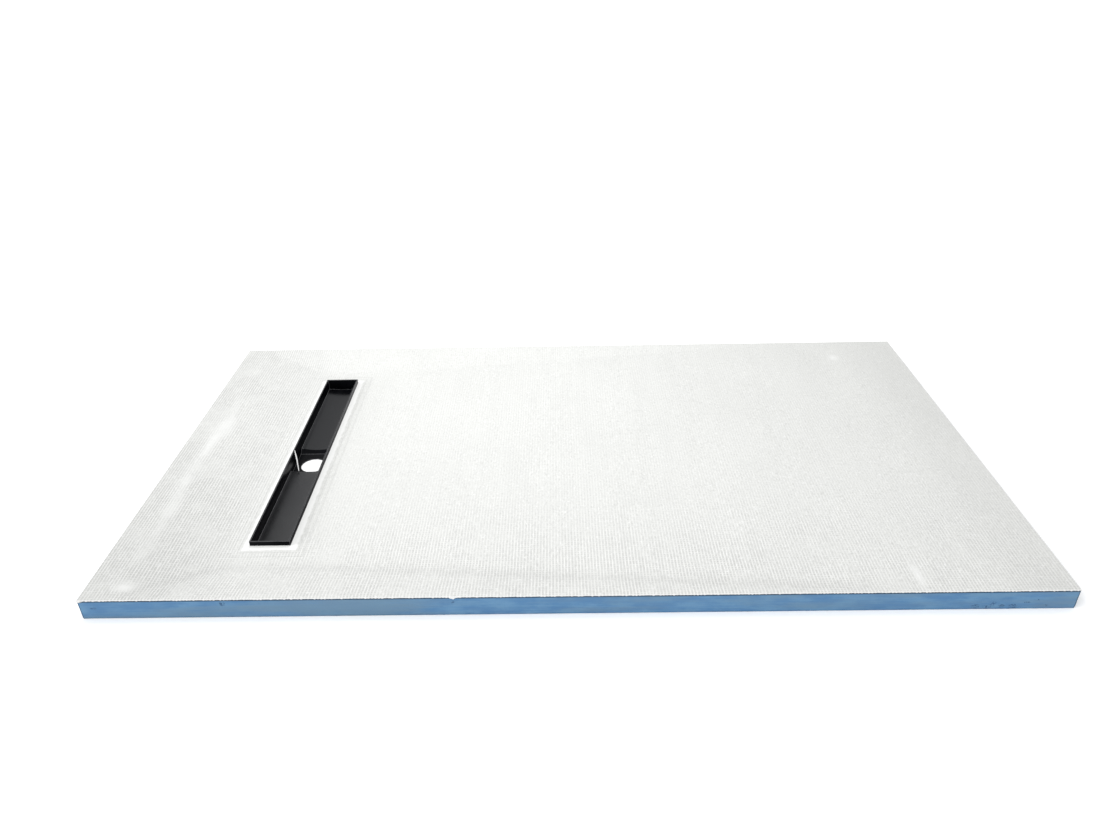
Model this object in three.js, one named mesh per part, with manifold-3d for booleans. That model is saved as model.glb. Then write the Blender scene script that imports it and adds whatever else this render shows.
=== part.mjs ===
// Foam shower tray for tiling over: a milled foam core with falls to a linear drain, a thin
// mesh-reinforced cement coating on its top, and a black plastic drain channel set into it.
// Millimetres, +Z up. The origin is at the centre of the underside, with the length along X
// and the drain near the -X end.

import * as THREE from "three";
import { ConvexGeometry } from "three/addons/geometries/ConvexGeometry.js";
import { mergeVertices } from "three/addons/utils/BufferGeometryUtils.js";
import Module from "manifold-3d";

// Tray
const TRAY_LENGTH = 1600;
const TRAY_WIDTH = 900;
const TRAY_HEIGHT = 40;
const COATING = 1.7;
const BED = 0.3; // thin bed between the coating and what it covers

// Falls: level borders round the edge, and a level pocket round the drain
const LEFT_BORDER = 55;
const RIGHT_BORDER = 248;
const LONG_SIDE_BORDER = 6;
const FALL = 17;
const POCKET_TO_LEFT = 36; // from the channel's side to the pocket's edge
const POCKET_TO_RIGHT = 84;
const POCKET_TO_END = 58; // from the channel's end to the pocket's edge

// Drain channel
const DRAIN_FROM_LEFT = 266; // from the tray's left side to the channel's centreline
const CHANNEL_WIDTH = 72;
const CHANNEL_LENGTH = 598;
const CHANNEL_WALL = 2.4;
const RIM_STANDS = 10.5; // above the coating round it
const FLOOR_HEIGHT = 10; // of the channel's floor at its sides, above the underside
const FLOOR_DISH = 2.5; // how much lower the floor is along its middle
const FLOOR_THICKNESS = 2.5;
const FLANGE = 25; // width of the flange that the coating covers
const FLANGE_THICKNESS = 1.5;
const FLANGE_SKIM = 0.8; // how far the coating is raised over the flange
const SKIM_OVERLAP = 4; // how far that raised patch runs past the flange

// Sump and outlet
const SUMP_LENGTH = 85;
const SUMP_OFFSET = -4.5; // from the channel's middle, along Y
const SUMP_FLOOR = 2;
const SUMP_FAR_DRAFT = 11; // how far the far wall leans in at its foot
const SUMP_NEAR_DRAFT = 3;
const OUTLET_DIAMETER = 49;
const OUTLET_X = 3; // from the channel's centreline
const OUTLET_Y = -10.5; // from the sump's middle

// Clearance and shape quality
const FIT = 0.3; // round a piece that is set into another
const THROUGH = 10; // how far a cutting body runs past what it cuts
const DISH_SEGMENTS = 12;
const OUTLET_SEGMENTS = 48;

// Heights worked out from the sizes above
const FOAM_EDGE = TRAY_HEIGHT - COATING - BED;
const POCKET_TOP = TRAY_HEIGHT - FALL;
const FOAM_POCKET = FOAM_EDGE - FALL;
const RIM_TOP = POCKET_TOP + RIM_STANDS;
const BODY_BOTTOM = FLOOR_HEIGHT - FLOOR_DISH - FLOOR_THICKNESS;

// Places worked out from the sizes above
const LEFT = -TRAY_LENGTH / 2;
const RIGHT = TRAY_LENGTH / 2;
const FRONT = -TRAY_WIDTH / 2;
const BACK = TRAY_WIDTH / 2;
const DRAIN_X = LEFT + DRAIN_FROM_LEFT;
const SUMP_FAR = SUMP_OFFSET + SUMP_LENGTH / 2;
const SUMP_NEAR = SUMP_OFFSET - SUMP_LENGTH / 2;

const wasm = await Module();
wasm.setup();

// A closed geometry as a solid for joining and cutting
function solid(geometry) {
  const bare = geometry.clone();
  bare.deleteAttribute("normal");
  bare.deleteAttribute("uv");
  const merged = mergeVertices(bare, 1e-4);
  return new wasm.Manifold(new wasm.Mesh({
    numProp: 3,
    vertProperties: new Float32Array(merged.attributes.position.array),
    triVerts: new Uint32Array(merged.index.array),
  }));
}

// A solid as a named mesh
function part(name, body, look) {
  const mesh = body.getMesh();
  const geometry = new THREE.BufferGeometry();
  geometry.setAttribute("position", new THREE.BufferAttribute(mesh.vertProperties, 3));
  geometry.setIndex(new THREE.BufferAttribute(mesh.triVerts, 1));
  geometry.computeVertexNormals();
  const result = new THREE.Mesh(geometry, new THREE.MeshStandardMaterial(look));
  result.name = name;
  return result;
}

// A block between two corners
function block(low, high) {
  const size = high.map((value, axis) => value - low[axis]);
  const middle = high.map((value, axis) => (value + low[axis]) / 2);
  const geometry = new THREE.BoxGeometry(...size);
  geometry.translate(...middle);
  return solid(geometry);
}

// A block centred on a plan point, with its width along X and its length along Y
function centredBlock(x, y, width, length, bottom, top) {
  const low = [x - width / 2, y - length / 2, bottom];
  const high = [x + width / 2, y + length / 2, top];
  return block(low, high);
}

// The four corners of a level rectangle
function rectangle(x0, x1, y0, y1, z) {
  return [
    new THREE.Vector3(x0, y0, z),
    new THREE.Vector3(x1, y0, z),
    new THREE.Vector3(x1, y1, z),
    new THREE.Vector3(x0, y1, z),
  ];
}

// The tray's outline from the underside up to its top surface, with an edge of this height
function fallsBlock(edge) {
  const raw = block([LEFT, FRONT, 0], [RIGHT, BACK, edge]);
  const borders = [
    LEFT + LEFT_BORDER,
    RIGHT - RIGHT_BORDER,
    FRONT + LONG_SIDE_BORDER,
    BACK - LONG_SIDE_BORDER,
  ];
  const pocket = [
    DRAIN_X - CHANNEL_WIDTH / 2 - POCKET_TO_LEFT,
    DRAIN_X + CHANNEL_WIDTH / 2 + POCKET_TO_RIGHT,
    -CHANNEL_LENGTH / 2 - POCKET_TO_END,
    CHANNEL_LENGTH / 2 + POCKET_TO_END,
  ];
  const falls = new ConvexGeometry([
    ...rectangle(...pocket, edge - FALL),
    ...rectangle(...borders, edge),
    ...rectangle(...borders, edge + THROUGH),
  ]);
  return raw.subtract(solid(falls));
}

// What the drain takes out of a piece that it is set into: its body, sump and flange
function drainSeat() {
  const width = CHANNEL_WIDTH + 2 * FIT;
  const length = CHANNEL_LENGTH + 2 * FIT;
  const body = centredBlock(
    DRAIN_X, 0, width, length, BODY_BOTTOM - FIT, TRAY_HEIGHT + THROUGH);
  const flange = centredBlock(
    DRAIN_X, 0, width + 2 * FLANGE, length + 2 * FLANGE,
    FOAM_POCKET - FLANGE_THICKNESS - FIT, FOAM_POCKET + THROUGH);
  const sump = centredBlock(
    DRAIN_X, SUMP_OFFSET, width, SUMP_LENGTH + 2 * CHANNEL_WALL + 2 * FIT,
    -THROUGH, TRAY_HEIGHT);
  return body.add(flange).add(sump);
}

// The hollow of the trough, with its floor dished across
function troughHollow() {
  const half = CHANNEL_WIDTH / 2 - CHANNEL_WALL;
  const length = CHANNEL_LENGTH - 2 * CHANNEL_WALL;
  const section = new THREE.Shape();
  section.moveTo(-half, RIM_TOP + THROUGH);
  section.lineTo(-half, FLOOR_HEIGHT);
  // a control point at twice the depth puts the curve's middle at the full depth
  section.quadraticCurveTo(0, FLOOR_HEIGHT - 2 * FLOOR_DISH, half, FLOOR_HEIGHT);
  section.lineTo(half, RIM_TOP + THROUGH);
  const geometry = new THREE.ExtrudeGeometry(section, {
    depth: length,
    bevelEnabled: false,
    curveSegments: DISH_SEGMENTS,
  });
  geometry.rotateX(Math.PI / 2);
  geometry.translate(DRAIN_X, length / 2, 0);
  return solid(geometry);
}

// The hollow of the sump, with leaning end walls
function sumpHollow() {
  const half = CHANNEL_WIDTH / 2 - CHANNEL_WALL;
  const sides = [DRAIN_X - half, DRAIN_X + half];
  return solid(new ConvexGeometry([
    ...rectangle(...sides, SUMP_NEAR + SUMP_NEAR_DRAFT, SUMP_FAR - SUMP_FAR_DRAFT, SUMP_FLOOR),
    ...rectangle(...sides, SUMP_NEAR, SUMP_FAR, FLOOR_HEIGHT),
    ...rectangle(...sides, SUMP_NEAR, SUMP_FAR, RIM_TOP + THROUGH),
  ]));
}

// The round hole in the sump's floor
function outletHole() {
  const radius = OUTLET_DIAMETER / 2;
  const height = SUMP_FLOOR + 2 * THROUGH;
  const geometry = new THREE.CylinderGeometry(radius, radius, height, OUTLET_SEGMENTS);
  geometry.rotateX(Math.PI / 2);
  geometry.translate(DRAIN_X + OUTLET_X, SUMP_OFFSET + OUTLET_Y, 0);
  return solid(geometry);
}

function foamCore() {
  return fallsBlock(FOAM_EDGE).subtract(drainSeat());
}

function topCoating() {
  const below = fallsBlock(FOAM_EDGE + BED);
  const skin = fallsBlock(TRAY_HEIGHT).subtract(below);
  const over = 2 * (FLANGE + SKIM_OVERLAP);
  const skim = centredBlock(
    DRAIN_X, 0, CHANNEL_WIDTH + over, CHANNEL_LENGTH + over,
    FOAM_POCKET + BED, POCKET_TOP + FLANGE_SKIM);
  const opening = centredBlock(
    DRAIN_X, 0, CHANNEL_WIDTH + 2 * FIT, CHANNEL_LENGTH + 2 * FIT,
    0, TRAY_HEIGHT + THROUGH);
  return skin.add(skim).subtract(opening);
}

function drainChannel() {
  const body = centredBlock(
    DRAIN_X, 0, CHANNEL_WIDTH, CHANNEL_LENGTH, BODY_BOTTOM, RIM_TOP);
  const flange = centredBlock(
    DRAIN_X, 0, CHANNEL_WIDTH + 2 * FLANGE, CHANNEL_LENGTH + 2 * FLANGE,
    FOAM_POCKET - FLANGE_THICKNESS, FOAM_POCKET);
  const sump = centredBlock(
    DRAIN_X, SUMP_OFFSET, CHANNEL_WIDTH, SUMP_LENGTH + 2 * CHANNEL_WALL,
    0, FLOOR_HEIGHT);
  return body.add(flange).add(sump)
    .subtract(troughHollow())
    .subtract(sumpHollow())
    .subtract(outletHole());
}

const tray = new THREE.Group();
tray.add(part("foam_core", foamCore(), {
  color: 0x648cb0,
  roughness: 0.8,
  metalness: 0,
}));
tray.add(part("top_coating", topCoating(), {
  color: 0xedeeeb,
  roughness: 0.75,
  metalness: 0,
}));
tray.add(part("drain_channel", drainChannel(), {
  color: 0x1c1c1e,
  roughness: 0.4,
  metalness: 0,
}));

export default tray;
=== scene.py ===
import math

import bmesh
import bpy
import numpy as np
from mathutils import Matrix, Vector


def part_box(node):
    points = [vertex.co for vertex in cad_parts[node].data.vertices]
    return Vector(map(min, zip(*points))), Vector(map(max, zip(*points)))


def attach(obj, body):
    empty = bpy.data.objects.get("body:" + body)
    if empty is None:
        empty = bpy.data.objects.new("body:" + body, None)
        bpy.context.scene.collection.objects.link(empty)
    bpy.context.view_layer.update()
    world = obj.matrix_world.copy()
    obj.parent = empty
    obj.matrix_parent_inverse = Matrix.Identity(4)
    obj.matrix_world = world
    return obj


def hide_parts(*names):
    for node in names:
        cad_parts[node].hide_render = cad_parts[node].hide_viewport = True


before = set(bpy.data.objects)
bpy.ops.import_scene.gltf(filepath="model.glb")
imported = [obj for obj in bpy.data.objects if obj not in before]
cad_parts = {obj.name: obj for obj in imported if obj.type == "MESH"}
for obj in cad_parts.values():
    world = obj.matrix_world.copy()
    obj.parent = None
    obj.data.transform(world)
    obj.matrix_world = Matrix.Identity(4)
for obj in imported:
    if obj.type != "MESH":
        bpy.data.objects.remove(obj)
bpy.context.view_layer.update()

# Sizes in metres, in the frame's own axes: X along the tray, Y across it, Z up
MM = 0.001
LEFT_BORDER = 55 * MM
RIGHT_BORDER = 248 * MM
LONG_SIDE_BORDER = 6 * MM
FALL = 17 * MM
POCKET_TO_LEFT = 36 * MM
POCKET_TO_RIGHT = 84 * MM
POCKET_TO_END = 58 * MM
COATING = 1.7 * MM
FLANGE = 25 * MM
SMOOTH_BELOW = 35  # degrees between faces that are shaded as one

# Shape of the coating
MESH_PITCH = 5.41 * MM
MESH_WANDER = 1.2 * MM  # how far the crossings stray from a true grid
WANDER_SIZE = 50 * MM
WANDER_FROM_SIDE = 20 * MM  # where the straying has grown to its full amount
YARN_HEIGHT = 0.34 * MM
CREST_JITTER = 0.06 * MM
WINDOW_JITTER = 0.08 * MM
CREASE_SOFTNESS = 0.9 * MM
CREST_BELOW_TOP = 0.32 * MM
UNEVEN = 0.5 * MM
UNEVEN_SIZE = 110 * MM
UNEVEN_FROM_SIDE = 30 * MM  # where the unevenness has grown to its full amount
FLANGE_STEPS = (28 * MM, 17 * MM)  # reach of each raised layer past the channel
FLANGE_STEP_HEIGHT = 0.25 * MM
STEP_RUN = 6 * MM
BAND = 13 * MM  # smooth mortar right against the channel
BAND_RINGS = (0.3, 0.6, 0.85, 1.0)
BEAD = 1.1 * MM  # height of the mortar against the channel's side
BEAD_RUN = 3.5 * MM
WALL_GAP = 0.05 * MM
EDGE_INSET = 0.1 * MM
EDGE_RAGGED = 0.4 * MM
EDGE_BROKEN = 0.12 * MM  # drop of the mortar's edge between two yarn ends
YARN_END = 1.3 * MM
# mortar that hangs over the front edge: middle, reach along X and drop
TUFTS = ((-0.196, 4 * MM, 3.6 * MM), (-0.798, 3 * MM, 4.0 * MM))

# Where the mesh shows through the mortar. A pair is where a change starts and ends, along X or Y
SHOW_LEAST = 0.28
SHOW_STRONG = 0.52
SHOW_MORE_LEFT = 0.20
SHOW_LESS_RIGHT = 0.14
STRONG_LEFT_X = (-0.66, -0.50)
STRONG_FRONT_Y = (-0.40, -0.10)
MORE_LEFT_X = (-0.74, -0.50)
LESS_RIGHT_X = (0.25, 0.75)

# The pale streak along the drain end, and smooth spots as middle and reach along X and Y. Both
# are smooth mortar that hides the mesh, paler in part by a painted highlight
STREAK_X = -0.7425
STREAK_WANDER = 12 * MM
STREAK_SPREAD = 12 * MM
STREAK_STARTS_Y = (-0.385, -0.285)
STREAK_ENDS_Y = (0.185, 0.245)
STREAK_CLEAREST_Y = 0.03
STREAK_CLEAREST_REACH = 0.13
PALE_SPOTS = (
    (-0.735, -0.419, 0.014, 0.010),
    (0.556, -0.411, 0.007, 0.028),
    (0.640, 0.364, 0.012, 0.012),
)

# Painted shade on parts of the level strips at the left and right sides, and the valley's
# painted shade line
SHADE_LEFT_X = (-0.785, -0.735)
SHADE_LEFT_Y = (-0.30, 0.35)
SHADE_CORNER_X = (-0.72, -0.56)
SHADE_CORNER_Y = (-0.42, 0.15)
SHADE_RIGHT_X = (0.64, 0.76)
SHADE_BACK_X = (0.0, 0.4)
SHADE_BACK_Y = (-0.3, 0.2)
VALLEY_SPREAD = 2.4 * MM  # as a difference in height
VALLEY_FADE = 4 * MM

# Shape of the foam
FOAM_INSET = 0.6 * MM
SIDE_STEP = 4.5 * MM
SIDE_ROWS = 13
ROW_RISE = 0.3 * MM
ARRIS = 0.5 * MM
ARRIS_HEIGHT = 2.2 * MM
SAW_WAVE = 0.2 * MM
SAW_WAVE_SIZE = 40 * MM
# place along the front, height, radius and depth of the dents in the front side
FRONT_DENTS = (
    (0.592, 0.0135, 0.0030, 0.0011),
    (0.607, 0.0065, 0.0022, 0.0009),
    (0.611, 0.0178, 0.0026, 0.0010),
    (0.622, 0.0110, 0.0040, 0.0013),
    (0.634, 0.0055, 0.0026, 0.0011),
    (0.641, 0.0150, 0.0020, 0.0008),
    (0.653, 0.0095, 0.0034, 0.0012),
    (0.694, 0.0248, 0.0040, 0.0012),
    (0.735, 0.0190, 0.0024, 0.0006),
    (-0.700, 0.0285, 0.0040, 0.0007),
    (-0.236, 0.0100, 0.0030, 0.0007),
)
SMALL_DENTS = 46
SMALL_DENT_HEIGHT = (4 * MM, 35 * MM)
SMALL_DENT_RADIUS = (1.8 * MM, 3.4 * MM)
SMALL_DENT_DEPTH = (0.3 * MM, 0.8 * MM)
# torn spots in the front side: middle and reach, along X and Z
TORN_SPOTS = (
    (0.6395, 0.0050, 0.0075, 0.0055),
    (0.6590, 0.0040, 0.0075, 0.0055),
    (0.6680, 0.0120, 0.0050, 0.0045),
    (0.6810, 0.0060, 0.0055, 0.0045),
    (0.7000, 0.0050, 0.0085, 0.0055),
    (0.7200, 0.0140, 0.0055, 0.0020),
    (0.7380, 0.0190, 0.0035, 0.0020),
    (0.7520, 0.0070, 0.0035, 0.0025),
    (-0.7760, 0.0220, 0.0070, 0.0022),
    (-0.5670, 0.0290, 0.0050, 0.0040),
    (-0.1960, 0.0280, 0.0040, 0.0035),
)

# Shape of the drain
EDGE_ROUND = 0.45 * MM
EDGE_ROUND_STEPS = 3
WELD = 0.01 * MM
FLAT_BELOW = math.radians(0.4)
SHARP_ABOVE = math.radians(25)
UPRIGHT = 0.5  # a face whose normal rises less than this is a wall
LEANING = 0.9  # and in the sump one whose normal rises less than this
SUMP_WALL_BELOW = 9 * MM
SUMP_FLOOR_BELOW = 3 * MM
# edges over the sump that get no painted highlight: reach along Y, heights, and distance from
# the sides
SUMP_REACH = 52 * MM
SUMP_EDGE_HEIGHTS = (4 * MM, 11 * MM)
SUMP_EDGE_INSET = 5 * MM

# The pale strand that leans in the sump, from the rim down to the near floor's edge
STRAND = (
    (-0.5668, -0.0060, 0.0330),
    (-0.5642, -0.0130, 0.0308),
    (-0.5612, -0.0200, 0.0272),
    (-0.5585, -0.0270, 0.0222),
    (-0.5561, -0.0340, 0.0172),
    (-0.5536, -0.0410, 0.0133),
    (-0.5508, -0.0485, 0.0108),
)
STRAND_THIN = 0.6 * MM
STRAND_THICK = 1.5 * MM
STRAND_SIDES = 8
STRAND_SMOOTH_BELOW = 60

# Colours
COAT_LIGHT = (0.528, 0.533, 0.520)
COAT_DARK = (0.509, 0.514, 0.501)
MESH_LIGHT = (0.651, 0.656, 0.641)
MESH_DARK = (0.631, 0.636, 0.623)
# Darker grains and specks of the mortar, and painted shade in the mesh's windows, along the
# valley, on the level strips and at the flange steps
COAT_SPECK_AND_SHADE = (0.295, 0.297, 0.290)
COAT_PALE = (0.621, 0.625, 0.618)
COAT_BAND = (0.699, 0.703, 0.696)
FOAM_LIGHT = (0.099, 0.211, 0.342)
FOAM_DARK = (0.057, 0.152, 0.293)
FOAM_DULL = (0.109, 0.182, 0.250)
# Painted shadow below the coating and painted shade along the foam's foot, also darker up the
# corners
FOAM_SHADE_LINE = (0.017, 0.033, 0.055)
FOAM_PIT = (0.015, 0.057, 0.147)
FOAM_FLAKE = (0.202, 0.340, 0.497)
DRAIN_BLACK = (0.0012, 0.0013, 0.0020)
DRAIN_DUST = (0.0050, 0.0052, 0.0066)
# Painted highlight on the drain's rounded edges
DRAIN_EDGE_HIGHLIGHT = (0.101, 0.101, 0.106)
DRAIN_SHEEN = (0.92, 0.95, 1.0)
STRAND_PALE = (0.791, 0.791, 0.791)
STRAND_SHADE = (0.570, 0.570, 0.570)
FLOOR_PALE = (0.985, 0.985, 0.985)
FLOOR_TONE = (0.965, 0.965, 0.965)

# How strongly each surface reflects
MATTE_GLOSS = 0.3
DRAIN_GLOSS = 0.32
WALL_GLOSS = 0.06
FLOOR_GLOSS = 0.1

# Fine relief of the materials
YARN_SHARPNESS = 1.8
YARN_RELIEF = 0.36 * MM
GRAIN_RELIEF = 0.14 * MM
SPECK_RELIEF = 0.25 * MM
MORTAR_RELIEF = 0.35 * MM
LINE_RUN = 1.6 * MM
LINE_HEIGHT = 0.35 * MM
STEP_SHADE_LINE = (0.2 * MM, 0.9 * MM)  # where the painted shade line over the flange starts to fade, and is gone
BAND_WANDER = 5 * MM
RIM_PALE = (0.3 * MM, 1.6 * MM)  # where the pale cut edge starts to fade inwards, and is gone
CELL_RELIEF = 0.12 * MM
SAW_RELIEF = 0.25 * MM
PIT_RELIEF = 0.6 * MM
DRAIN_RELIEF = 0.015 * MM
STRAND_RELIEF = 0.12 * MM

# Dark lines of the foam: a painted shadow below the coating, painted shade along the foot, and a
# darker line up the corners
FOAM_SHADOW_BELOW_TOP = (3.9 * MM, 2.1 * MM)
FOAM_FOOT = 3.2 * MM
FOAM_CORNER = (1.2 * MM, 3.2 * MM)

# Photograph's camera
LENS = 27.52
SENSOR = 36.0
CAMERA_PLACE = Vector((-0.0208, -1.4524, 0.9710))
CAMERA_YAW = math.radians(-0.78)
CAMERA_DIP = math.radians(30.60)
CAMERA_ROLL = math.radians(-1.17)
CAMERA_REACH = 200.0

# Floor and light
FLOOR_HALF = 40.0
SKY = 1.0
KEY_POWER = 12.0
KEY_PLACE = Vector((-0.287, 0.259, 1.40))
KEY_SIZE = 0.9
SIDE_POWER = 2.4
SIDE_AZIMUTH = math.radians(-156.5)  # where the side light comes from
SIDE_RISE = math.radians(20)
SIDE_SPREAD = math.radians(45)
SIDE_DISTANCE = 3.0

# Places worked out from the frame and the sizes above
coat_low, coat_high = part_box("top_coating")
foam_low, foam_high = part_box("foam_core")
drain_low, drain_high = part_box("drain_channel")
TOP = coat_high.z
DRAIN_X = (drain_low.x + drain_high.x) / 2
HALF_WIDTH = (drain_high.x - drain_low.x) / 2 - FLANGE
HALF_LENGTH = (drain_high.y - drain_low.y) / 2 - FLANGE
CREASES = (
    coat_low.x + LEFT_BORDER,
    coat_high.x - RIGHT_BORDER,
    coat_low.y + LONG_SIDE_BORDER,
    coat_high.y - LONG_SIDE_BORDER,
)
POCKET = (
    DRAIN_X - HALF_WIDTH - POCKET_TO_LEFT,
    DRAIN_X + HALF_WIDTH + POCKET_TO_RIGHT,
    -HALF_LENGTH - POCKET_TO_END,
    HALF_LENGTH + POCKET_TO_END,
)
COLUMNS = round((coat_high.x - coat_low.x) / MESH_PITCH)
ROWS = round((coat_high.y - coat_low.y) / MESH_PITCH)
PITCH_X = (coat_high.x - coat_low.x) / COLUMNS
PITCH_Y = (coat_high.y - coat_low.y) / ROWS

# Columns and rows of the mesh between which the channel and its smooth band lie
HOLE = (
    math.floor((DRAIN_X - HALF_WIDTH - BAND - coat_low.x) / PITCH_X),
    math.ceil((DRAIN_X + HALF_WIDTH + BAND - coat_low.x) / PITCH_X),
    math.floor((-HALF_LENGTH - BAND - coat_low.y) / PITCH_Y),
    math.ceil((HALF_LENGTH + BAND - coat_low.y) / PITCH_Y),
)
HOLE_CELLS = (HOLE[1] - HOLE[0], HOLE[3] - HOLE[2]) * 2  # along each of its four sides


# Smooth random values between 0 and 1, the same each run
def patches(x, y, size, seed):
    count = 64
    shift = 200.0
    table = np.random.default_rng(seed).random((count, count))
    u = np.asarray(x) / size + shift
    v = np.asarray(y) / size + shift
    iu = np.floor(u).astype(int)
    iv = np.floor(v).astype(int)
    fu = u - iu
    fv = v - iv
    fu = fu * fu * (3 - 2 * fu)
    fv = fv * fv * (3 - 2 * fv)
    left, right = iu % count, (iu + 1) % count
    front, back = iv % count, (iv + 1) % count
    near = table[left, front] * (1 - fu) + table[right, front] * fu
    far = table[left, back] * (1 - fu) + table[right, back] * fu
    return near * (1 - fv) + far * fv


# 0 below low, 1 above high and smooth between
def ramp(value, low, high):
    t = np.clip((value - low) / (high - low), 0, 1)
    return t * t * (3 - 2 * t)


# 1 below low, 0 above high and smooth between
def fade(value, low, high):
    return 1 - ramp(value, low, high)


# 1 at the middle, falling off over the reach
def bell(value, middle, reach):
    return np.exp(-((value - middle) / reach) ** 2)


# Patches as a factor between its least value and 1
def patchy(x, y, size, seed, least, low, high):
    return least + (1 - least) * ramp(patches(x, y, size, seed), low, high)


# The smaller of two values, with the corner between them rounded off over a difference k
def smooth_min(a, b, k):
    h = np.maximum(k - np.abs(a - b), 0) / k
    return np.minimum(a, b) - h * h * k / 4


# Distance from a plan point to the channel's outline, positive outside it
def from_channel(x, y):
    return np.maximum(np.abs(x - DRAIN_X) - HALF_WIDTH, np.abs(y) - HALF_LENGTH)


# Distance from a plan point to the nearest of the tray's sides
def from_side(x, y):
    along = np.minimum(x - coat_low.x, coat_high.x - x)
    across = np.minimum(y - coat_low.y, coat_high.y - y)
    return np.minimum(along, across)


# How far below the level border each of the four falls lies: left, right, front and back
def falls(x, y):
    return (
        FALL * (x - CREASES[0]) / (POCKET[0] - CREASES[0]),
        FALL * (CREASES[1] - x) / (CREASES[1] - POCKET[1]),
        FALL * (y - CREASES[2]) / (POCKET[2] - CREASES[2]),
        FALL * (CREASES[3] - y) / (CREASES[3] - POCKET[3]),
    )


# How far the coating's top lies below its level border
def fall_depth(x, y):
    depth = np.full(np.shape(x), FALL)
    for fall in falls(x, y):
        depth = smooth_min(depth, fall, CREASE_SOFTNESS)
    return -smooth_min(-depth, np.zeros(np.shape(x)), CREASE_SOFTNESS)


# The coating's top without its mesh
def coating_height(x, y):
    away = from_channel(x, y)
    raised = sum(fade(away, reach - STEP_RUN, reach) for reach in FLANGE_STEPS)
    bead = BEAD * fade(away, 0, BEAD_RUN)
    uneven = (patches(x, y, UNEVEN_SIZE, seed=3) - 0.5) * UNEVEN
    uneven = uneven * ramp(from_side(x, y), 0, UNEVEN_FROM_SIDE)
    level = TOP - CREST_BELOW_TOP - fall_depth(x, y)
    return level + FLANGE_STEP_HEIGHT * raised + bead + uneven


# Where smooth pale mortar covers the mesh, from 0 to 1; its paleness is partly a painted
# highlight
def pale_mortar_and_highlight(x, y):
    middle = STREAK_X + (patches(0, y, 110 * MM, seed=14) - 0.5) * STREAK_WANDER
    width = STREAK_SPREAD * (0.6 + 0.9 * patches(0, y, 70 * MM, seed=15))
    streak = bell(x, middle, width) * ramp(y, *STREAK_STARTS_Y) * fade(y, *STREAK_ENDS_Y)
    streak = streak * (0.55 + 0.45 * bell(y, STREAK_CLEAREST_Y, STREAK_CLEAREST_REACH))
    pale = streak * (0.35 + 0.50 * ramp(patches(0, y, 75 * MM, seed=16), 0.35, 0.75))
    pale = pale * patchy(x, y, 20 * MM, 13, 0.6, 0.2, 0.7)
    for spot_x, spot_y, reach_x, reach_y in PALE_SPOTS:
        pale = np.maximum(pale, bell(x, spot_x, reach_x) * bell(y, spot_y, reach_y))
    return pale


# How strongly the mesh shows through the mortar: most at the front and near the left side
def mesh_show(x, y):
    strong = np.maximum(fade(x, *STRONG_LEFT_X), fade(y, *STRONG_FRONT_Y))
    more = SHOW_MORE_LEFT * fade(x, *MORE_LEFT_X)
    less = SHOW_LESS_RIGHT * ramp(x, *LESS_RIGHT_X)
    show = SHOW_LEAST + (SHOW_STRONG + more - less) * strong
    show = show * patchy(x, y, 70 * MM, 11, 0.74, 0.1, 0.6)
    show = show * patchy(x, y, 24 * MM, 12, 0.60, 0.08, 0.45)
    show = show * (1 - 0.85 * pale_mortar_and_highlight(x, y))
    return show * ramp(from_channel(x, y), 0.8 * BAND, 1.6 * BAND)


# Where painted shade darkens the coating a little: the level strips at the left and right sides
def shaded_strip(x, y):
    left = fade(x, *SHADE_LEFT_X) * (0.45 + 0.55 * fade(y, *SHADE_LEFT_Y))
    corner = 0.85 * fade(x, *SHADE_CORNER_X) * fade(y, *SHADE_CORNER_Y)
    right = 0.6 * ramp(x, *SHADE_RIGHT_X)
    back = 0.25 * ramp(x, *SHADE_BACK_X) * ramp(y, *SHADE_BACK_Y)
    return np.clip(np.maximum(left, corner) + right + back, 0, 1)


# The soft painted shade line where the front fall meets the ground in front of the drain, from 0
# to 1
def valley_shade(x, y):
    left, right, front, _ = falls(x, y)
    other = np.minimum(np.minimum(right, left), FALL)
    return bell(front, other, VALLEY_SPREAD) * ramp(other, 0, VALLEY_FADE)


# A mesh object from points and faces, with its normals turned outwards
def make_piece(name, points, faces, smooth_below):
    mesh = bpy.data.meshes.new(name)
    mesh.from_pydata([tuple(p) for p in points], [], faces)
    work = bmesh.new()
    work.from_mesh(mesh)
    loose = [v for v in work.verts if not v.link_faces]
    bmesh.ops.delete(work, geom=loose, context="VERTS")
    bmesh.ops.recalc_face_normals(work, faces=work.faces)
    work.to_mesh(mesh)
    work.free()
    return place_mesh(name, mesh, smooth_below)


# A mesh as an object, shaded smoothly except over edges sharper than an angle in degrees
def place_mesh(name, mesh, smooth_below):
    mesh.shade_smooth()
    mesh.set_sharp_from_angle(angle=math.radians(smooth_below))
    return place_object(bpy.data.objects.new(name, mesh))


def place_object(thing):
    bpy.context.scene.collection.objects.link(thing)
    return thing


# Points from p to q, without q
def steps(p, q, count):
    return [tuple(np.array(p) + (np.array(q) - np.array(p)) * k / count) for k in range(count)]


# Corners of a plan rectangle, anticlockwise from the front left
def plan_corners(x0, x1, y0, y1):
    return [(x0, y0), (x1, y0), (x1, y1), (x0, y1)]


# Faces round a tube whose points lie in rows of the same count, closed at both ends
def tube_faces(rows, count):
    faces = []
    for row in range(rows - 1):
        low = row * count
        for k in range(count):
            after = (k + 1) % count
            faces.append((low + k, low + after, low + count + after, low + count + k))
    faces.append(tuple(reversed(range(count))))
    faces.append(tuple(range((rows - 1) * count, rows * count)))
    return faces


# The number of the point where two yarns of the coating's mesh cross
def crossing(i, j):
    return i * (ROWS + 1) + j


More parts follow.
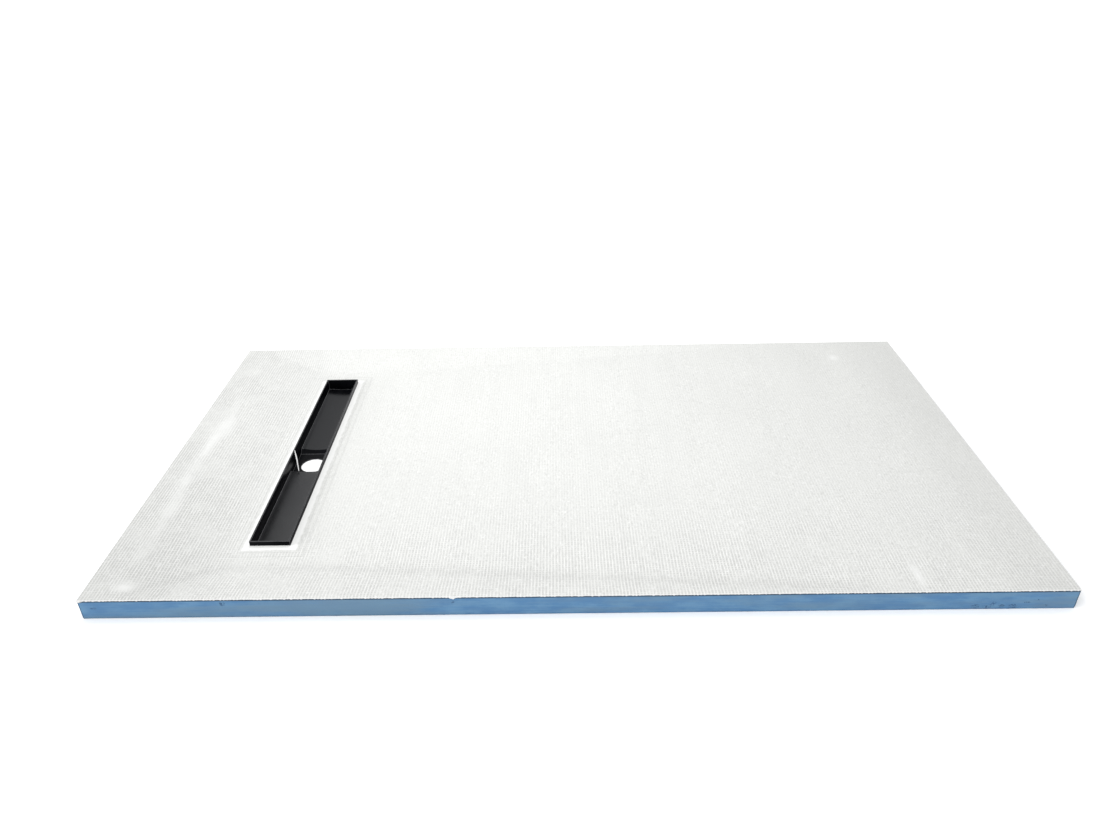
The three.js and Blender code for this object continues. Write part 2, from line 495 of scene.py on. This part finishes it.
# The coating in steps that share its points, faces and random draws: a point at each crossing of
# the mesh, one in each of its windows, a ragged cut edge, rings of smooth mortar against the
# channel and a plain underside
class CoatingMesh:
    def __init__(self):
        self.points = []
        self.faces = []
        self.jitter = np.random.default_rng(5)
        self.rough = np.random.default_rng(6)
        self.xs = np.linspace(coat_low.x, coat_high.x, COLUMNS + 1)
        self.ys = np.linspace(coat_low.y, coat_high.y, ROWS + 1)
        self.add_crossings()
        self.add_cut_edge()
        self.add_windows()
        sides = self.rim_sides()
        skirt = self.add_skirt([v for side in sides for v in side])
        mouth = self.add_band()
        self.add_underside(sides, skirt, mouth)

    def add(self, x, y, z):
        self.points.append([x, y, z])
        return len(self.points) - 1

    # Four-sided faces between two closed loops of the same count
    def bridge(self, outer, inner):
        for k in range(len(outer)):
            after = (k + 1) % len(outer)
            self.faces.append((outer[k], inner[k], inner[after], outer[after]))

    def add_crossings(self):
        x, y = np.meshgrid(self.xs, self.ys, indexing="ij")
        free = ramp(from_side(x, y), 0, WANDER_FROM_SIDE)
        free = free * ramp(from_channel(x, y), BAND, 3 * BAND) * MESH_WANDER
        wx = x + (patches(x, y, WANDER_SIZE, seed=21) - 0.5) * free
        wy = y + (patches(x, y, WANDER_SIZE, seed=22) - 0.5) * free
        crests = coating_height(wx, wy) + (self.jitter.random(x.shape) - 0.5) * CREST_JITTER
        self.points = np.stack([wx, wy, crests], axis=-1).reshape(-1, 3).tolist()

    # At the cut edge the crossings are yarn ends, and the mortar between them is broken back
    def add_cut_edge(self):
        self.front_mid = []
        self.back_mid = []
        self.left_mid = []
        self.right_mid = []
        for i in range(COLUMNS):
            self.front_mid.append(self.add_edge_point(i + 0.5, 0))
            self.back_mid.append(self.add_edge_point(i + 0.5, ROWS))
        for j in range(ROWS):
            self.left_mid.append(self.add_edge_point(0, j + 0.5))
            self.right_mid.append(self.add_edge_point(COLUMNS, j + 0.5))

    def add_edge_point(self, i, j):
        inset = EDGE_INSET + EDGE_RAGGED * self.rough.random()
        x = coat_low.x + i * PITCH_X
        y = coat_low.y + j * PITCH_Y
        x = min(max(x, coat_low.x + inset), coat_high.x - inset)
        y = min(max(y, coat_low.y + inset), coat_high.y - inset)
        return self.add(x, y, float(coating_height(x, y)) - EDGE_BROKEN)

    # The points round a window, with the cut edge's own points where it lies at a side
    def window_ring(self, i, j):
        ring = [crossing(i, j)]
        if j == 0:
            ring.append(self.front_mid[i])
        ring.append(crossing(i + 1, j))
        if i == COLUMNS - 1:
            ring.append(self.right_mid[j])
        ring.append(crossing(i + 1, j + 1))
        if j == ROWS - 1:
            ring.append(self.back_mid[i])
        ring.append(crossing(i, j + 1))
        if i == 0:
            ring.append(self.left_mid[j])
        return ring

    def add_windows(self):
        mid_xs = (self.xs[:-1] + self.xs[1:]) / 2
        mid_ys = (self.ys[:-1] + self.ys[1:]) / 2
        x, y = np.meshgrid(mid_xs, mid_ys, indexing="ij")
        dip = YARN_HEIGHT * mesh_show(x, y)
        z = coating_height(x, y) - dip + (self.jitter.random(x.shape) - 0.5) * WINDOW_JITTER
        for i in range(COLUMNS):
            for j in range(ROWS):
                if HOLE[0] <= i < HOLE[1] and HOLE[2] <= j < HOLE[3]:
                    continue
                ring = self.window_ring(i, j)
                centre = self.add(x[i, j], y[i, j], z[i, j])
                for k, corner in enumerate(ring):
                    self.faces.append((centre, corner, ring[(k + 1) % len(ring)]))

    # The outer rim as a list for each side, anticlockwise from the front left corner
    def rim_sides(self):
        front = [v for i in range(COLUMNS)
                 for v in (crossing(i, 0), self.front_mid[i])]
        right = [v for j in range(ROWS)
                 for v in (crossing(COLUMNS, j), self.right_mid[j])]
        back = [v for i in reversed(range(COLUMNS))
                for v in (crossing(i + 1, ROWS), self.back_mid[i])]
        left = [v for j in reversed(range(ROWS))
                for v in (crossing(0, j + 1), self.left_mid[j])]
        return front, right, back, left

    # The foot of the cut edge, where each yarn's end hangs a little lower
    def add_skirt(self, rim):
        skirt = []
        for k, v in enumerate(rim):
            x, y, z = self.points[v]
            down = COATING - CREST_BELOW_TOP + EDGE_INSET
            if k % 2 == 0:
                down += YARN_END * self.rough.random() ** 1.5
            if y < coat_low.y + MM:
                down += sum(fall * float(bell(x, spot, reach)) for spot, reach, fall in TUFTS)
            skirt.append(self.add(x, y, z - down))
        self.bridge(rim, skirt)
        return skirt

    # Rings of smooth mortar, from the mesh in to the channel
    def add_band(self):
        hole = plan_corners(*HOLE)
        reach_x = HALF_WIDTH + WALL_GAP
        reach_y = HALF_LENGTH + WALL_GAP
        wall = plan_corners(DRAIN_X - reach_x, DRAIN_X + reach_x, -reach_y, reach_y)
        lattice = []
        inner = []
        for k, cells in enumerate(HOLE_CELLS):
            after = (k + 1) % 4
            for i, j in steps(hole[k], hole[after], cells):
                lattice.append(crossing(round(i), round(j)))
            inner += steps(wall[k], wall[after], cells)
        loop = lattice
        for share in BAND_RINGS:
            ring = []
            for v, (wall_x, wall_y) in zip(lattice, inner):
                mesh_x, mesh_y, _ = self.points[v]
                x = mesh_x + (wall_x - mesh_x) * share
                y = mesh_y + (wall_y - mesh_y) * share
                ring.append(self.add(x, y, float(coating_height(x, y))))
            self.bridge(loop, ring)
            loop = ring
        return loop

    # Plain planes that follow the falls, from the skirt in to the channel's opening
    def add_underside(self, sides, skirt, mouth):
        under = TOP - COATING
        opening = [self.add(*self.points[v][:2], under - FALL) for v in mouth]
        self.bridge(mouth, opening)
        crease = [self.add(x, y, under) for x, y in plan_corners(*CREASES)]
        pocket = [self.add(x, y, under - FALL) for x, y in plan_corners(*POCKET)]
        start = 0
        hole_start = 0
        for k, side in enumerate(sides):
            after = (k + 1) % 4
            cells = HOLE_CELLS[k]
            run = [skirt[(start + n) % len(skirt)] for n in range(len(side) + 1)]
            edge = [opening[(hole_start + n) % len(opening)] for n in range(cells + 1)]
            self.faces.append(tuple(run) + (crease[after], crease[k]))
            self.faces.append((crease[k], crease[after], pocket[after], pocket[k]))
            self.faces.append((pocket[k], pocket[after]) + tuple(reversed(edge)))
            start += len(side)
            hole_start += cells


# The coating, with what its material needs to know at each point
def coating_piece():
    shape = CoatingMesh()
    piece = make_piece("coating", shape.points, shape.faces, SMOOTH_BELOW)
    places = np.zeros(len(piece.data.vertices) * 3)
    piece.data.vertices.foreach_get("co", places)
    x, y, _ = places.reshape(-1, 3).T
    values = {
        "mesh_show": mesh_show(x, y),
        "pale_mortar_and_highlight": pale_mortar_and_highlight(x, y),
        "valley_shade": valley_shade(x, y),
        "shaded_strip": shaded_strip(x, y),
    }
    for name, value in values.items():
        layer = piece.data.attributes.new(name, "FLOAT", "POINT")
        layer.data.foreach_set("value", value.astype(np.float32))
    return piece


# Each dent's side, place along it, height, radius and depth. Sides count from the front,
# anticlockwise
def foam_dents():
    chance = np.random.default_rng(31)
    dents = [(0, *dent) for dent in FRONT_DENTS]
    for _ in range(SMALL_DENTS):
        side = int(chance.integers(4))
        half = foam_high.x if side in (0, 2) else foam_high.y
        spot = float(chance.uniform(-half, half))
        height = float(chance.uniform(*SMALL_DENT_HEIGHT))
        radius = float(chance.uniform(*SMALL_DENT_RADIUS))
        depth = float(chance.uniform(*SMALL_DENT_DEPTH))
        dents.append((side, spot, height, radius, depth))
    return dents


# Points round the foam in plan, each with the normals that it is set in along, and its side
def foam_outline():
    corners = plan_corners(foam_low.x, foam_high.x, foam_low.y, foam_high.y)
    normals = [(0, -1), (1, 0), (0, 1), (-1, 0)]
    outline = []
    for side in range(4):
        here, there = corners[side], corners[(side + 1) % 4]
        count = round(math.dist(here, there) / SIDE_STEP)
        for n, spot in enumerate(steps(here, there, count)):
            both = [normals[side], normals[side - 1]] if n == 0 else [normals[side]]
            outline.append((spot, both, side))
    return outline


# How far a side of the foam is set in: sawn waves, a worn foot and the dents
def side_inset(side, along, z, dents):
    inset = FOAM_INSET + SAW_WAVE * float(patches(along, z * 4 + side, SAW_WAVE_SIZE, seed=33))
    inset += ARRIS * float(fade(z - foam_low.z, 0, ARRIS_HEIGHT))
    for dent_side, spot, height, radius, depth in dents:
        if dent_side == side and abs(along - spot) < 3 * radius:
            inset += depth * float(bell(along, spot, radius) * bell(z, height, radius))
    return inset


# The foam: a block with finely divided sides, sawn and dented, cut to the falls and the drain's
# seat by the solid that it stands for
def foam_piece():
    rows = np.linspace(foam_low.z, foam_high.z, SIDE_ROWS)
    heights = [foam_low.z - MM, *(rows[:-1] + ROW_RISE), foam_high.z, foam_high.z + MM]
    outline = foam_outline()
    dents = foam_dents()
    points = []
    for z in heights:
        for (x, y), normals, side in outline:
            inset = side_inset(side, x if side in (0, 2) else y, z, dents)
            px = x - sum(n[0] for n in normals) * inset
            py = y - sum(n[1] for n in normals) * inset
            points.append((px, py, z))
    block = make_piece("foam", points, tube_faces(len(heights), len(outline)), SMOOTH_BELOW)
    cut = block.modifiers.new("seat", "BOOLEAN")
    cut.operation = "INTERSECT"
    cut.solver = "EXACT"
    cut.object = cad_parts["foam_core"]
    shape = bpy.data.meshes.new_from_object(
        block.evaluated_get(bpy.context.evaluated_depsgraph_get()))
    bpy.data.objects.remove(block)
    return place_mesh("foam", shape, SMOOTH_BELOW)


# The drain: the solid that it stands for, with its edges and inner corners slightly rounded, and
# the rounded faces marked for a painted highlight except over the sump
def drain_piece():
    work = bmesh.new()
    work.from_mesh(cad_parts["drain_channel"].data)
    edge_light = work.faces.layers.float.new("edge_highlight")
    bmesh.ops.remove_doubles(work, verts=work.verts, dist=WELD)
    bmesh.ops.dissolve_limit(work, angle_limit=FLAT_BELOW, verts=work.verts, edges=work.edges)
    sharp = [e for e in work.edges if e.is_manifold and e.calc_face_angle() > SHARP_ABOVE]
    rounded = bmesh.ops.bevel(
        work, geom=sharp, offset=EDGE_ROUND, segments=EDGE_ROUND_STEPS, profile=0.5,
        affect="EDGES", clamp_overlap=True)
    lowest, highest = SUMP_EDGE_HEIGHTS
    for face in rounded["faces"]:
        x, y, z = face.calc_center_median()
        inside = abs(x - DRAIN_X) < HALF_WIDTH - SUMP_EDGE_INSET
        over_sump = abs(y) < SUMP_REACH and lowest < z < highest and inside
        face[edge_light] = 0.0 if over_sump else 1.0
    mesh = bpy.data.meshes.new("drain")
    work.to_mesh(mesh)
    work.free()
    return place_mesh("drain", mesh, SMOOTH_BELOW)


# The strand: a tube that is thin at its ends and thickest near its middle
def strand_piece():
    count = len(STRAND)
    points = []
    for k, spot in enumerate(STRAND):
        before = Vector(STRAND[max(k - 1, 0)])
        after = Vector(STRAND[min(k + 1, count - 1)])
        turn = (after - before).to_track_quat("Z", "Y").to_matrix()
        swell = math.sin(math.pi * min(k / (count - 1) * 1.15, 1.0) * 0.9)
        radius = STRAND_THIN + (STRAND_THICK - STRAND_THIN) * swell
        for n in range(STRAND_SIDES):
            angle = 2 * math.pi * n / STRAND_SIDES
            rim = Vector((math.cos(angle), math.sin(angle), 0)) * radius
            points.append(tuple(Vector(spot) + turn @ rim))
    return make_piece("strand", points, tube_faces(count, STRAND_SIDES), STRAND_SMOOTH_BELOW)


# A material made of nodes. Values may be numbers or the outputs of other nodes
class Shader:
    def __init__(self, name):
        self.material = bpy.data.materials.new(name)
        self.material.use_nodes = True
        self.tree = self.material.node_tree
        self.bsdf = self.tree.nodes["Principled BSDF"]
        coordinates = self.tree.nodes.new("ShaderNodeTexCoord")
        self.place = coordinates.outputs["Object"]
        split = self.tree.nodes.new("ShaderNodeSeparateXYZ")
        self.link(self.place, split.inputs[0])
        self.x, self.y, self.z = split.outputs

    def link(self, source, target):
        self.tree.links.new(source, target)

    def feed(self, source, target):
        if isinstance(source, (int, float)):
            target.default_value = source
        else:
            self.link(source, target)

    def math(self, operation, a, b=0.0, c=0.0):
        node = self.tree.nodes.new("ShaderNodeMath")
        node.operation = operation
        for value, socket in zip((a, b, c), node.inputs):
            self.feed(value, socket)
        return node.outputs[0]

    def times(self, a, b):
        return self.math("MULTIPLY", a, b)

    # The sum of values, each times its own weight
    def total(self, *terms):
        result = self.times(*terms[0])
        for value, weight in terms[1:]:
            result = self.math("ADD", result, self.times(value, weight))
        return result

    # Noise about scale features to the metre, stretched by the given factors along X, Y and Z
    def noise(self, scale, detail=3.0, roughness=0.6, stretch=(1, 1, 1)):
        mapping = self.tree.nodes.new("ShaderNodeMapping")
        mapping.inputs["Scale"].default_value = stretch
        self.link(self.place, mapping.inputs["Vector"])
        node = self.tree.nodes.new("ShaderNodeTexNoise")
        node.inputs["Scale"].default_value = scale
        node.inputs["Detail"].default_value = detail
        node.inputs["Roughness"].default_value = roughness
        self.link(mapping.outputs[0], node.inputs["Vector"])
        return node.outputs["Fac"]

    def cells(self, scale):
        node = self.tree.nodes.new("ShaderNodeTexVoronoi")
        node.inputs["Scale"].default_value = scale
        self.link(self.place, node.inputs["Vector"])
        return node.outputs["Distance"]

    # to_low where the value is low, to_high where it is high, and smooth between
    def remap(self, value, low, high, to_low=0.0, to_high=1.0):
        node = self.tree.nodes.new("ShaderNodeMapRange")
        node.interpolation_type = "SMOOTHSTEP"
        self.feed(value, node.inputs["Value"])
        node.inputs["From Min"].default_value = low
        node.inputs["From Max"].default_value = high
        node.inputs["To Min"].default_value = to_low
        node.inputs["To Max"].default_value = to_high
        return node.outputs["Result"]

    # One colour shading into another; either may be another node's output
    def blend(self, share, a, b):
        node = self.tree.nodes.new("ShaderNodeMix")
        node.data_type = "RGBA"
        self.feed(share, node.inputs["Factor"])
        for colour, socket in ((a, node.inputs[6]), (b, node.inputs[7])):
            if isinstance(colour, tuple):
                socket.default_value = (*colour, 1.0)
            else:
                self.link(colour, socket)
        return node.outputs[2]

    # A colour with others laid over it in turn, each by its own share
    def cover(self, base, *coats):
        for share, colour in coats:
            base = self.blend(share, base, colour)
        return base

    def attribute(self, name):
        node = self.tree.nodes.new("ShaderNodeAttribute")
        node.attribute_name = name
        return node.outputs["Fac"]

    # Distances from the sides of a box that is centred on the origin, along X and along Y
    def from_sides(self, high):
        from_x = self.math("SUBTRACT", high.x, self.math("ABSOLUTE", self.x))
        from_y = self.math("SUBTRACT", high.y, self.math("ABSOLUTE", self.y))
        return from_x, from_y

    # Bump from a height in metres
    def bump(self, height):
        node = self.tree.nodes.new("ShaderNodeBump")
        node.inputs["Strength"].default_value = 1.0
        node.inputs["Distance"].default_value = 1.0
        self.link(height, node.inputs["Height"])
        self.link(node.outputs["Normal"], self.bsdf.inputs["Normal"])

    def colour(self, source):
        self.link(source, self.bsdf.inputs["Base Color"])

    def roughness(self, source):
        self.feed(source, self.bsdf.inputs["Roughness"])

    def gloss(self, level):
        self.bsdf.inputs["Specular IOR Level"].default_value = level


# Parallel yarns, 1 along their middles and 0 between them, that wander and vary in strength
def yarns(s, place, start, pitch, wander, wander_scale, strength):
    wave = s.noise(wander_scale, 2.0, 0.5)
    wave = s.math("MULTIPLY_ADD", wave, wander, -start - wander / 2)
    turns = s.times(s.math("ADD", place, wave), 2 * math.pi / pitch)
    ridge = s.math("MULTIPLY_ADD", s.math("COSINE", turns), 0.5, 0.5)
    return s.times(s.math("POWER", ridge, YARN_SHARPNESS), strength)


# The square mesh, 1 on its yarns and 0 in the middle of its windows. The weft is the fainter
def weave_pattern(s):
    strong = s.remap(s.noise(120.0, stretch=(1.6, 0.35, 1)), 0.35, 0.6, 0.72, 1.0)
    faint = s.remap(s.noise(130.0, stretch=(0.35, 1.6, 1)), 0.35, 0.62, 0.15, 0.66)
    warp = yarns(s, s.x, coat_low.x, PITCH_X, 1.6 * MM, 14.0, strong)
    weft = yarns(s, s.y, coat_low.y, PITCH_Y, 1.2 * MM, 15.0, faint)
    return s.math("MAXIMUM", warp, weft)


# Distances from the channel's outline, the first a little uneven and the second more so
def channel_distances(s):
    across = s.math("ABSOLUTE", s.math("SUBTRACT", s.x, DRAIN_X))
    side = s.math("SUBTRACT", across, HALF_WIDTH)
    end = s.math("SUBTRACT", s.math("ABSOLUTE", s.y), HALF_LENGTH)
    wander = s.math("MULTIPLY_ADD", s.noise(60.0), BAND_WANDER, -BAND_WANDER / 2)
    away = s.math("ADD", s.math("MAXIMUM", side, end), s.times(wander, 0.5))
    return away, s.math("ADD", away, wander)


# The raised layers over the drain's flange: a step each in the surface, with a fine painted
# shade line at each step
def flange_layers(s, base, away):
    layers = 0.0
    for reach in FLANGE_STEPS:
        step = s.remap(away, reach - LINE_RUN, reach, LINE_HEIGHT, 0.0)
        layers = s.math("ADD", layers, step)
        line = s.math("ABSOLUTE", s.math("SUBTRACT", away, reach))
        # a painted shade line along each step
        base = s.blend(s.remap(line, *STEP_SHADE_LINE, 0.36, 0.0), base, COAT_SPECK_AND_SHADE)
    return base, layers


def coating_material():
    s = Shader("cement_coating")
    weave = weave_pattern(s)
    show = s.attribute("mesh_show")
    window = s.times(s.math("SUBTRACT", 1.0, weave), show)
    away, ragged_away = channel_distances(s)
    band = s.remap(ragged_away, 0.7 * BAND, 1.05 * BAND, 1.0, 0.0)
    rim = s.remap(s.math("MINIMUM", *s.from_sides(coat_high)), *RIM_PALE, 1.0, 0.0)

    mottle = s.noise(30.0, 4.0)
    grain = s.noise(900.0, 3.0, 0.7)
    speck = s.noise(360.0, stretch=(1, 0.45, 1))
    broad = s.noise(5.0, 3.0, 0.5)
    streak = s.noise(38.0, 3.0, 0.55, stretch=(1, 0.10, 1))
    tone = s.remap(s.total((broad, 0.35), (mottle, 0.30), (streak, 0.35)), 0.40, 0.60)
    base = s.cover(
        s.blend(tone, COAT_DARK, COAT_LIGHT),
        (show, s.blend(tone, MESH_DARK, MESH_LIGHT)),
        # painted shade in the mesh's windows
        (s.times(window, 0.72), COAT_SPECK_AND_SHADE),
        (s.remap(grain, 0.55, 0.75, 0.0, 0.35), COAT_SPECK_AND_SHADE),
        (s.remap(speck, 0.32, 0.46, 0.30, 0.0), COAT_SPECK_AND_SHADE),
        (s.remap(speck, 0.56, 0.70, 0.0, 0.75), COAT_PALE),
        # painted shade along the valley
        (s.times(s.attribute("valley_shade"), 0.14), COAT_SPECK_AND_SHADE),
        # painted shade on the level strips
        (s.times(s.attribute("shaded_strip"), 0.19), COAT_SPECK_AND_SHADE),
        # smooth pale mortar, partly a painted highlight
        (s.times(s.attribute("pale_mortar_and_highlight"), 0.7), COAT_PALE),
        (s.times(band, 0.92), COAT_BAND),
        (s.times(rim, 0.9), COAT_PALE),
    )
    base, layers = flange_layers(s, base, away)
    s.colour(base)
    s.roughness(s.remap(mottle, 0.3, 0.7, 0.62, 0.82))
    s.gloss(MATTE_GLOSS)
    relief = s.total(
        (s.times(weave, show), YARN_RELIEF),
        (grain, GRAIN_RELIEF),
        (speck, SPECK_RELIEF),
        (s.noise(120.0), MORTAR_RELIEF),
    )
    s.bump(s.math("ADD", relief, layers))
    return s.material


# Where the foam's front side is torn, from 0 to 1, with uneven outlines
def torn_spots(s):
    torn = 0.0
    outline = s.math("MULTIPLY_ADD", s.noise(170.0, 3.0, 0.7), 3.6, -1.8)
    for middle_x, middle_z, reach_x, reach_z in TORN_SPOTS:
        u = s.math("DIVIDE", s.math("SUBTRACT", s.x, middle_x), reach_x)
        v = s.math("DIVIDE", s.math("SUBTRACT", s.z, middle_z), reach_z)
        away = s.math("ADD", s.total((u, u), (v, v)), outline)
        torn = s.math("MAXIMUM", torn, s.remap(away, 0.3, 1.1, 1.0, 0.0))
    return s.times(torn, s.math("LESS_THAN", s.y, 0.0))


# The dark lines: a painted shadow below the coating, painted shade along the foot, and darker up
# the corners
def foam_shade_lines(s):
    start, full = FOAM_SHADOW_BELOW_TOP
    edge = s.remap(s.z, foam_high.z - start, foam_high.z - full)
    foot = s.remap(s.z, 0.0, FOAM_FOOT, 0.35, 0.0)
    corner = s.remap(s.math("MAXIMUM", *s.from_sides(foam_high)), *FOAM_CORNER, 0.7, 0.0)
    return s.math("MAXIMUM", s.math("MAXIMUM", foot, corner), edge)


def foam_material():
    s = Shader("blue_foam")
    mottle = s.noise(24.0, 4.0, stretch=(1, 1, 2.5))
    streak = s.noise(9.0, stretch=(1, 1, 40))
    tone = s.total((mottle, 0.7), (streak, 0.3))
    low_left = s.times(
        s.remap(s.z, 12 * MM, 30 * MM, 0.16, 0.0),
        s.remap(s.x, -0.4, 0.1, 1.0, 0.0))
    dull = s.math("ADD", s.noise(3.5, stretch=(1, 1, 10)), low_left)
    cells = s.cells(900.0)
    torn = torn_spots(s)
    bits = s.noise(720.0, 2.0, stretch=(0.8, 1, 1.1))
    pits = s.times(torn, s.remap(bits, 0.52, 0.57))
    flakes = s.times(torn, s.remap(bits, 0.38, 0.30))
    s.colour(s.cover(
        s.blend(s.remap(tone, 0.38, 0.64), FOAM_DARK, FOAM_LIGHT),
        (s.remap(dull, 0.46, 0.70, 0.0, 0.75), FOAM_DULL),
        # painted shadow below the coating and painted shade along the foot
        (foam_shade_lines(s), FOAM_SHADE_LINE),
        (s.remap(cells, 0.45, 0.9, 0.0, 0.3), FOAM_DARK),
        (s.times(pits, 0.8), FOAM_PIT),
        (s.times(flakes, 0.5), FOAM_FLAKE),
    ))
    s.roughness(s.remap(mottle, 0.3, 0.7, 0.6, 0.8))
    s.gloss(MATTE_GLOSS)
    saw = s.noise(30.0, stretch=(1, 1, 30))
    s.bump(s.total((cells, -CELL_RELIEF), (saw, SAW_RELIEF), (pits, -PIT_RELIEF)))
    return s.material


def drain_material(name, gloss):
    s = Shader(name)
    cloud = s.noise(18.0, 4.0)
    highlight_gaps = s.noise(70.0)
    # Painted highlight along the rounded edges, broken up by noise
    edge_light = s.times(s.attribute("edge_highlight"), s.remap(highlight_gaps, 0.3, 0.6, 0.55, 1.0))
    s.colour(s.cover(
        s.blend(s.remap(cloud, 0.4, 0.75, 0.0, 0.5), DRAIN_BLACK, DRAIN_DUST),
        (s.remap(s.noise(420.0), 0.64, 0.78, 0.0, 0.8), DRAIN_DUST),
        (edge_light, DRAIN_EDGE_HIGHLIGHT),
    ))
    s.roughness(s.remap(cloud, 0.3, 0.7, 0.19, 0.27))
    s.gloss(gloss)
    s.bsdf.inputs["Specular Tint"].default_value = (*DRAIN_SHEEN, 1.0)
    s.bump(s.times(s.noise(500.0, 3.0, 0.5), DRAIN_RELIEF))
    return s.material


# The strand's material: light grey, finely streaked
def strand_material():
    s = Shader("pale_strand")
    strand_streaks = s.noise(700.0, 2.0, 0.5, stretch=(3, 1, 3))
    s.colour(s.blend(strand_streaks, STRAND_SHADE, STRAND_PALE))
    s.roughness(0.5)
    s.bump(s.times(strand_streaks, STRAND_RELIEF))
    return s.material


def floor_material():
    s = Shader("studio_floor")
    s.colour(s.blend(s.noise(1.5, 2.0, 0.5), FLOOR_TONE, FLOOR_PALE))
    s.roughness(0.9)
    s.gloss(FLOOR_GLOSS)
    return s.material


def dress(piece, material, slot, *nodes):
    piece.data.materials.clear()
    piece.data.materials.append(material)
    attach(piece, "root")
    if nodes:
        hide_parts(*nodes)


# The drain's upright walls, the sump's leaning walls and its floor take a duller material
def dull_walls(piece, material):
    piece.data.materials.append(material)
    for face in piece.data.polygons:
        rise = abs(face.normal.z)
        height = face.center.z
        in_sump = height < SUMP_FLOOR_BELOW or (rise < LEANING and height < SUMP_WALL_BELOW)
        if rise < UPRIGHT or in_sump:
            face.material_index = 1


def make_floor():
    mesh = bpy.data.meshes.new("floor")
    corners = plan_corners(-FLOOR_HALF, FLOOR_HALF, -FLOOR_HALF, FLOOR_HALF)
    mesh.from_pydata([(x, y, 0) for x, y in corners], [], [(0, 1, 2, 3)])
    mesh.materials.append(floor_material())
    floor = place_object(bpy.data.objects.new("floor", mesh))


def make_lamp(name, data, place, toward):
    lamp = place_object(bpy.data.objects.new(name, data))
    lamp.location = place
    lamp.rotation_mode = "QUATERNION"
    lamp.rotation_quaternion = toward.to_track_quat("-Z", "Y")


# A soft lamp overhead, and a low broad light from the left
def make_lights():
    key = bpy.data.lights.new("key", "AREA")
    key.shape = "DISK"
    key.size = KEY_SIZE
    key.energy = KEY_POWER
    make_lamp("key", key, KEY_PLACE, Vector((0, 0, -1)))
    side = bpy.data.lights.new("side", "SUN")
    side.angle = SIDE_SPREAD
    side.energy = SIDE_POWER
    source = Vector((
        math.cos(SIDE_RISE) * math.cos(SIDE_AZIMUTH),
        math.cos(SIDE_RISE) * math.sin(SIDE_AZIMUTH),
        math.sin(SIDE_RISE),
    ))
    make_lamp("side", side, source * SIDE_DISTANCE, -source)


def make_sky():
    world = bpy.data.worlds.new("studio")
    world.use_nodes = True
    background = world.node_tree.nodes["Background"]
    background.inputs["Color"].default_value = (1.0, 1.0, 1.0, 1.0)
    background.inputs["Strength"].default_value = SKY
    bpy.context.scene.world = world
    bpy.context.scene.view_settings.view_transform = "Standard"
    bpy.context.scene.view_settings.look = "None"


def make_camera():
    ahead = Vector((
        math.sin(CAMERA_YAW) * math.cos(CAMERA_DIP),
        math.cos(CAMERA_YAW) * math.cos(CAMERA_DIP),
        -math.sin(CAMERA_DIP),
    ))
    level = ahead.cross(Vector((0, 0, 1))).normalized()
    rise = level.cross(ahead)
    right = math.cos(CAMERA_ROLL) * level + math.sin(CAMERA_ROLL) * rise
    up = -math.sin(CAMERA_ROLL) * level + math.cos(CAMERA_ROLL) * rise
    data = bpy.data.cameras.new("camera")
    data.lens = LENS
    data.sensor_width = SENSOR
    data.sensor_fit = "HORIZONTAL"
    data.clip_end = CAMERA_REACH
    camera = place_object(bpy.data.objects.new("camera", data))
    turn = Matrix((right, up, -ahead)).transposed().to_4x4()
    camera.matrix_world = Matrix.Translation(CAMERA_PLACE) @ turn
    bpy.context.scene.camera = camera


make_camera()
make_sky()
make_floor()
make_lights()

dress(coating_piece(), coating_material(), "coating", "top_coating")
dress(foam_piece(), foam_material(), "foam", "foam_core")
drain = drain_piece()
dress(drain, drain_material("black_plastic", DRAIN_GLOSS), "drain", "drain_channel")
dull_walls(drain, drain_material("black_plastic_walls", WALL_GLOSS))
dress(strand_piece(), strand_material(), "coating")
